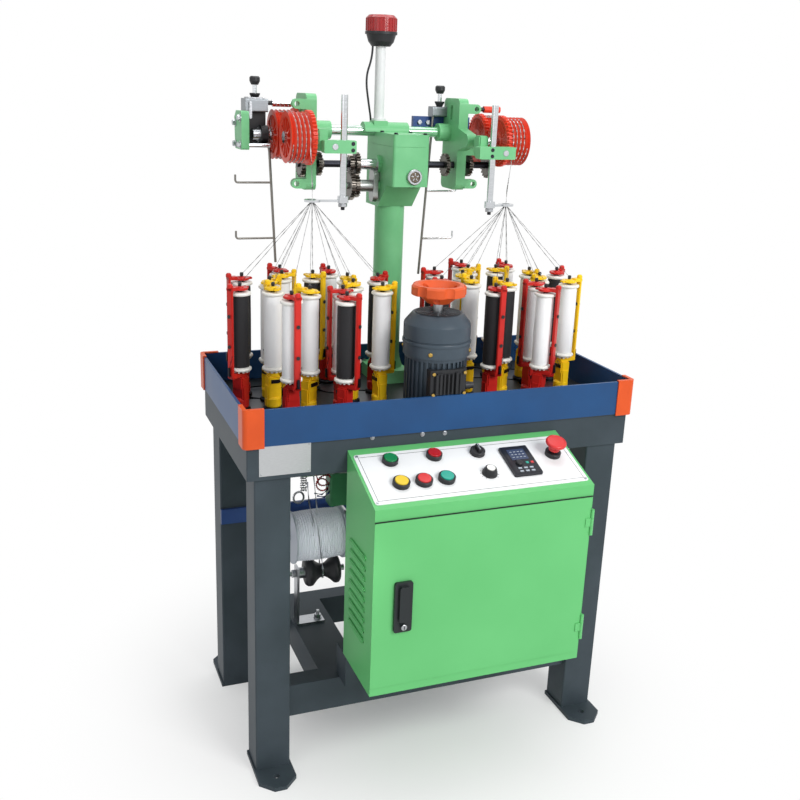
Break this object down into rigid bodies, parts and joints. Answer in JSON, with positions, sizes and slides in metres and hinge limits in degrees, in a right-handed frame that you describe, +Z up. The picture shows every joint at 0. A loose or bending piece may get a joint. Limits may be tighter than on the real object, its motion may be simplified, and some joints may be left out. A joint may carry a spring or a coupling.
{
  "type": "braiding_machine",
  "caption": "Kumihimo cord braiding machine: steel stand, blue tray with red and yellow bobbin carriers, green column with orange take-up wheels, red beacon, green control box.",
  "frame": {"origin": "On the floor, at the centre of the four foot bolts", "axes": "+X to the machine's right as seen from the control box, +Y to the back, +Z up"},
  "size_m": [0.938, 0.732, 1.688],
  "materials": {
    "frame_grey": "satin",
    "deck_steel": "satin",
    "tray_blue": "satin",
    "cap_orange": "matte",
    "casting_green": "satin",
    "box_green": "satin",
    "panel_white": "satin",
    "gear_steel": "oiled",
    "black_steel": "blackened",
    "chrome": "polished",
    "motor_grey": "satin",
    "black_plastic": "matte",
    "wheel_orange": "matte",
    "hand_orange": "gloss",
    "lens_red": "clear lens",
    "pole_white": "satin",
    "carrier_red": "gloss",
    "carrier_yellow": "gloss",
    "button_yellow": "gloss",
    "button_red": "gloss",
    "button_teal": "gloss",
    "knob_black": "gloss",
    "cord_white": "woven"
  },
  "bodies": {
    "machine": {"beacon_cable": "black_steel", "beacon_lens": "lens_red", "beacon_pole": "pole_white", "column": "casting_green", "control_box": "box_green", "corner_caps": "cap_orange", "cross_bar": "chrome", "fan_cowl": "motor_grey", "gear_studs": "gear_steel", "gearbox_casing": "casting_green", "motor_frame": "motor_grey", "nip_units": "casting_green", "panel_plate": "panel_white", "skirt_panels": "tray_blue", "stand": "frame_grey", "table_frame": "frame_grey", "take_up_frames": "casting_green", "terminal_box": "black_plastic", "track_plate": "deck_steel", "under_table_brackets": "casting_green", "yarn_guides": "chrome", "yarns": "cord_white"},
    "main_gear": {"main_gear": "gear_steel"},
    "horn_gear_left_1": {"horn_gear_left_1": "carrier_red"},
    "horn_gear_left_2": {"horn_gear_left_2": "carrier_yellow"},
    "horn_gear_left_3": {"horn_gear_left_3": "carrier_red"},
    "horn_gear_left_4": {"horn_gear_left_4": "carrier_yellow"},
    "horn_gear_left_5": {"horn_gear_left_5": "carrier_red"},
    "horn_gear_left_6": {"horn_gear_left_6": "carrier_yellow"},
    "horn_gear_left_7": {"horn_gear_left_7": "carrier_red"},
    "horn_gear_left_8": {"horn_gear_left_8": "carrier_yellow"},
    "horn_gear_right_1": {"horn_gear_right_1": "carrier_red"},
    "horn_gear_right_2": {"horn_gear_right_2": "carrier_yellow"},
    "horn_gear_right_3": {"horn_gear_right_3": "carrier_red"},
    "horn_gear_right_4": {"horn_gear_right_4": "carrier_yellow"},
    "horn_gear_right_5": {"horn_gear_right_5": "carrier_red"},
    "horn_gear_right_6": {"horn_gear_right_6": "carrier_yellow"},
    "horn_gear_right_7": {"horn_gear_right_7": "carrier_red"},
    "horn_gear_right_8": {"horn_gear_right_8": "carrier_yellow"},
    "idler_gear": {"idler_gear": "gear_steel"},
    "motor_rotor": {"motor_rotor": "hand_orange"},
    "takeoff_idler": {"takeoff_idler": "gear_steel"},
    "column_shaft": {"column_shaft": "gear_steel"},
    "worm_sleeve": {"worm_sleeve": "gear_steel"},
    "layshaft_gears": {"layshaft_gears": "black_steel"},
    "take_up_shaft": {"take_up_shaft": "black_steel"},
    "take_up_wheel_left_front": {"take_up_wheel_left_front": "wheel_orange"},
    "take_up_wheel_left_rear": {"take_up_wheel_left_rear": "wheel_orange"},
    "take_up_wheel_right_front": {"take_up_wheel_right_front": "wheel_orange"},
    "take_up_wheel_right_rear": {"take_up_wheel_right_rear": "wheel_orange"},
    "box_door": {"box_door": "box_green"},
    "yellow_button": {"yellow_button": "button_yellow"},
    "red_button": {"red_button": "button_red"},
    "teal_button": {"teal_button": "button_teal"},
    "estop_button": {"estop_button": "button_red"},
    "selector_knob": {"selector_knob": "knob_black"},
    "speed_knob": {"speed_knob": "knob_black"},
    "cord_spool": {"cord_spool": "cord_white"},
    "guide_roller": {"guide_roller": "black_plastic"}
  },
  "joints": [
    {"name": "main_gear_turn", "type": "hinge", "parent": "machine", "child": "main_gear", "pos_m": [-0.01, 0.02, 0.758], "axis": [0, 0, 1], "continuous": true},
    {"name": "horn_gear_left_1_turn", "type": "hinge", "parent": "machine", "child": "horn_gear_left_1", "pos_m": [-0.12, 0.02, 0.758], "axis": [0, 0, 1], "continuous": true},
    {"name": "horn_gear_left_2_turn", "type": "hinge", "parent": "machine", "child": "horn_gear_left_2", "pos_m": [-0.15827, 0.11239, 0.758], "axis": [0, 0, 1], "continuous": true},
    {"name": "horn_gear_left_3_turn", "type": "hinge", "parent": "machine", "child": "horn_gear_left_3", "pos_m": [-0.25066, 0.15066, 0.758], "axis": [0, 0, 1], "continuous": true},
    {"name": "horn_gear_left_4_turn", "type": "hinge", "parent": "machine", "child": "horn_gear_left_4", "pos_m": [-0.34304, 0.11239, 0.758], "axis": [0, 0, 1], "continuous": true},
    {"name": "horn_gear_left_5_turn", "type": "hinge", "parent": "machine", "child": "horn_gear_left_5", "pos_m": [-0.38131, 0.02, 0.758], "axis": [0, 0, 1], "continuous": true},
    {"name": "horn_gear_left_6_turn", "type": "hinge", "parent": "machine", "child": "horn_gear_left_6", "pos_m": [-0.34304, -0.07239, 0.758], "axis": [0, 0, 1], "continuous": true},
    {"name": "horn_gear_left_7_turn", "type": "hinge", "parent": "machine", "child": "horn_gear_left_7", "pos_m": [-0.25066, -0.11066, 0.758], "axis": [0, 0, 1], "continuous": true},
    {"name": "horn_gear_left_8_turn", "type": "hinge", "parent": "machine", "child": "horn_gear_left_8", "pos_m": [-0.15827, -0.07239, 0.758], "axis": [0, 0, 1], "continuous": true},
    {"name": "horn_gear_right_1_turn", "type": "hinge", "parent": "machine", "child": "horn_gear_right_1", "pos_m": [0.36131, 0.02, 0.758], "axis": [0, 0, 1], "continuous": true},
    {"name": "horn_gear_right_2_turn", "type": "hinge", "parent": "machine", "child": "horn_gear_right_2", "pos_m": [0.32304, 0.11239, 0.758], "axis": [0, 0, 1], "continuous": true},
    {"name": "horn_gear_right_3_turn", "type": "hinge", "parent": "machine", "child": "horn_gear_right_3", "pos_m": [0.23066, 0.15066, 0.758], "axis": [0, 0, 1], "continuous": true},
    {"name": "horn_gear_right_4_turn", "type": "hinge", "parent": "machine", "child": "horn_gear_right_4", "pos_m": [0.13827, 0.11239, 0.758], "axis": [0, 0, 1], "continuous": true},
    {"name": "horn_gear_right_5_turn", "type": "hinge", "parent": "machine", "child": "horn_gear_right_5", "pos_m": [0.1, 0.02, 0.758], "axis": [0, 0, 1], "continuous": true},
    {"name": "horn_gear_right_6_turn", "type": "hinge", "parent": "machine", "child": "horn_gear_right_6", "pos_m": [0.13827, -0.07239, 0.758], "axis": [0, 0, 1], "continuous": true},
    {"name": "horn_gear_right_7_turn", "type": "hinge", "parent": "machine", "child": "horn_gear_right_7", "pos_m": [0.23066, -0.11066, 0.758], "axis": [0, 0, 1], "continuous": true},
    {"name": "horn_gear_right_8_turn", "type": "hinge", "parent": "machine", "child": "horn_gear_right_8", "pos_m": [0.32304, -0.07239, 0.758], "axis": [0, 0, 1], "continuous": true},
    {"name": "idler_gear_turn", "type": "hinge", "parent": "machine", "child": "idler_gear", "pos_m": [-0.01, -0.085, 0.758], "axis": [0, 0, 1], "continuous": true},
    {"name": "motor_rotor_turn", "type": "hinge", "parent": "machine", "child": "motor_rotor", "pos_m": [-0.01, -0.155, 0.758], "axis": [0, 0, 1], "continuous": true},
    {"name": "takeoff_idler_turn", "type": "hinge", "parent": "machine", "child": "takeoff_idler", "pos_m": [-0.01, 0.105, 0.758], "axis": [0, 0, 1], "continuous": true},
    {"name": "column_shaft_turn", "type": "hinge", "parent": "machine", "child": "column_shaft", "pos_m": [-0.01, 0.17, 0.758], "axis": [0, 0, 1], "continuous": true},
    {"name": "worm_sleeve_turn", "type": "hinge", "parent": "machine", "child": "worm_sleeve", "pos_m": [-0.01, 0.134, 1.355], "axis": [1, 0, 0], "continuous": true},
    {"name": "layshaft_gears_turn", "type": "hinge", "parent": "machine", "child": "layshaft_gears", "pos_m": [-0.118, 0.134, 1.305], "axis": [1, 0, 0], "continuous": true},
    {"name": "take_up_shaft_turn", "type": "hinge", "parent": "machine", "child": "take_up_shaft", "pos_m": [-0.01, 0.134, 1.355], "axis": [1, 0, 0], "continuous": true},
    {"name": "take_up_wheel_left_front_turn", "type": "hinge", "parent": "machine", "child": "take_up_wheel_left_front", "pos_m": [-0.269, 0.074, 1.41591], "axis": [1, 0, 0], "continuous": true},
    {"name": "take_up_wheel_left_rear_turn", "type": "hinge", "parent": "machine", "child": "take_up_wheel_left_rear", "pos_m": [-0.269, 0.194, 1.41591], "axis": [1, 0, 0], "continuous": true},
    {"name": "take_up_wheel_right_front_turn", "type": "hinge", "parent": "machine", "child": "take_up_wheel_right_front", "pos_m": [0.253, 0.074, 1.41591], "axis": [1, 0, 0], "continuous": true},
    {"name": "take_up_wheel_right_rear_turn", "type": "hinge", "parent": "machine", "child": "take_up_wheel_right_rear", "pos_m": [0.253, 0.194, 1.41591], "axis": [1, 0, 0], "continuous": true},
    {"name": "box_door_turn", "type": "hinge", "parent": "machine", "child": "box_door", "pos_m": [0.269, -0.4195, 0.4985], "axis": [0, 0, 1], "range_deg": [0, 110]},
    {"name": "yellow_button_press", "type": "slide", "parent": "machine", "child": "yellow_button", "axis": [0, 0.3322, -0.9432], "range_m": [0, 0.003], "stiffness_N_per_m": 400},
    {"name": "red_button_press", "type": "slide", "parent": "machine", "child": "red_button", "axis": [0, 0.3322, -0.9432], "range_m": [0, 0.003], "stiffness_N_per_m": 400},
    {"name": "teal_button_press", "type": "slide", "parent": "machine", "child": "teal_button", "axis": [0, 0.3322, -0.9432], "range_m": [0, 0.003], "stiffness_N_per_m": 400},
    {"name": "estop_button_press", "type": "slide", "parent": "machine", "child": "estop_button", "axis": [0, 0.3322, -0.9432], "range_m": [0, 0.004]},
    {"name": "selector_knob_turn", "type": "hinge", "parent": "machine", "child": "selector_knob", "pos_m": [0.0449, -0.28257, 0.76463], "axis": [0, -0.3322, 0.9432], "range_deg": [-45, 45]},
    {"name": "speed_knob_turn", "type": "hinge", "parent": "machine", "child": "speed_knob", "pos_m": [0.0449, -0.34897, 0.74125], "axis": [0, -0.3322, 0.9432], "range_deg": [-135, 135]},
    {"name": "cord_spool_turn", "type": "hinge", "parent": "machine", "child": "cord_spool", "pos_m": [-0.2205, 0.06, 0.4515], "axis": [1, 0, 0], "continuous": true},
    {"name": "guide_roller_turn", "type": "hinge", "parent": "machine", "child": "guide_roller", "pos_m": [-0.202, 0.06, 0.349], "axis": [1, 0, 0], "continuous": true}
  ],
  "couplings": [
    {"joint": "horn_gear_left_1_turn", "follows": "main_gear_turn", "ratio": -1.2},
    {"joint": "horn_gear_left_2_turn", "follows": "main_gear_turn", "ratio": 1.2},
    {"joint": "horn_gear_left_3_turn", "follows": "main_gear_turn", "ratio": -1.2},
    {"joint": "horn_gear_left_4_turn", "follows": "main_gear_turn", "ratio": 1.2},
    {"joint": "horn_gear_left_5_turn", "follows": "main_gear_turn", "ratio": -1.2},
    {"joint": "horn_gear_left_6_turn", "follows": "main_gear_turn", "ratio": 1.2},
    {"joint": "horn_gear_left_7_turn", "follows": "main_gear_turn", "ratio": -1.2},
    {"joint": "horn_gear_left_8_turn", "follows": "main_gear_turn", "ratio": 1.2},
    {"joint": "horn_gear_right_1_turn", "follows": "main_gear_turn", "ratio": -1.2},
    {"joint": "horn_gear_right_2_turn", "follows": "main_gear_turn", "ratio": 1.2},
    {"joint": "horn_gear_right_3_turn", "follows": "main_gear_turn", "ratio": -1.2},
    {"joint": "horn_gear_right_4_turn", "follows": "main_gear_turn", "ratio": 1.2},
    {"joint": "horn_gear_right_5_turn", "follows": "main_gear_turn", "ratio": -1.2},
    {"joint": "horn_gear_right_6_turn", "follows": "main_gear_turn", "ratio": 1.2},
    {"joint": "horn_gear_right_7_turn", "follows": "main_gear_turn", "ratio": -1.2},
    {"joint": "horn_gear_right_8_turn", "follows": "main_gear_turn", "ratio": 1.2},
    {"joint": "idler_gear_turn", "follows": "main_gear_turn", "ratio": -1.3333},
    {"joint": "motor_rotor_turn", "follows": "main_gear_turn", "ratio": 2.4},
    {"joint": "takeoff_idler_turn", "follows": "main_gear_turn", "ratio": -2.4},
    {"joint": "column_shaft_turn", "follows": "main_gear_turn", "ratio": 1.5},
    {"joint": "worm_sleeve_turn", "follows": "main_gear_turn", "ratio": 0.0625},
    {"joint": "layshaft_gears_turn", "follows": "main_gear_turn", "ratio": -0.0625},
    {"joint": "take_up_shaft_turn", "follows": "main_gear_turn", "ratio": 0.10417},
    {"joint": "take_up_wheel_left_front_turn", "follows": "main_gear_turn", "ratio": -0.052083},
    {"joint": "take_up_wheel_left_rear_turn", "follows": "main_gear_turn", "ratio": -0.052083},
    {"joint": "take_up_wheel_right_front_turn", "follows": "main_gear_turn", "ratio": -0.052083},
    {"joint": "take_up_wheel_right_rear_turn", "follows": "main_gear_turn", "ratio": -0.052083}
  ]
}
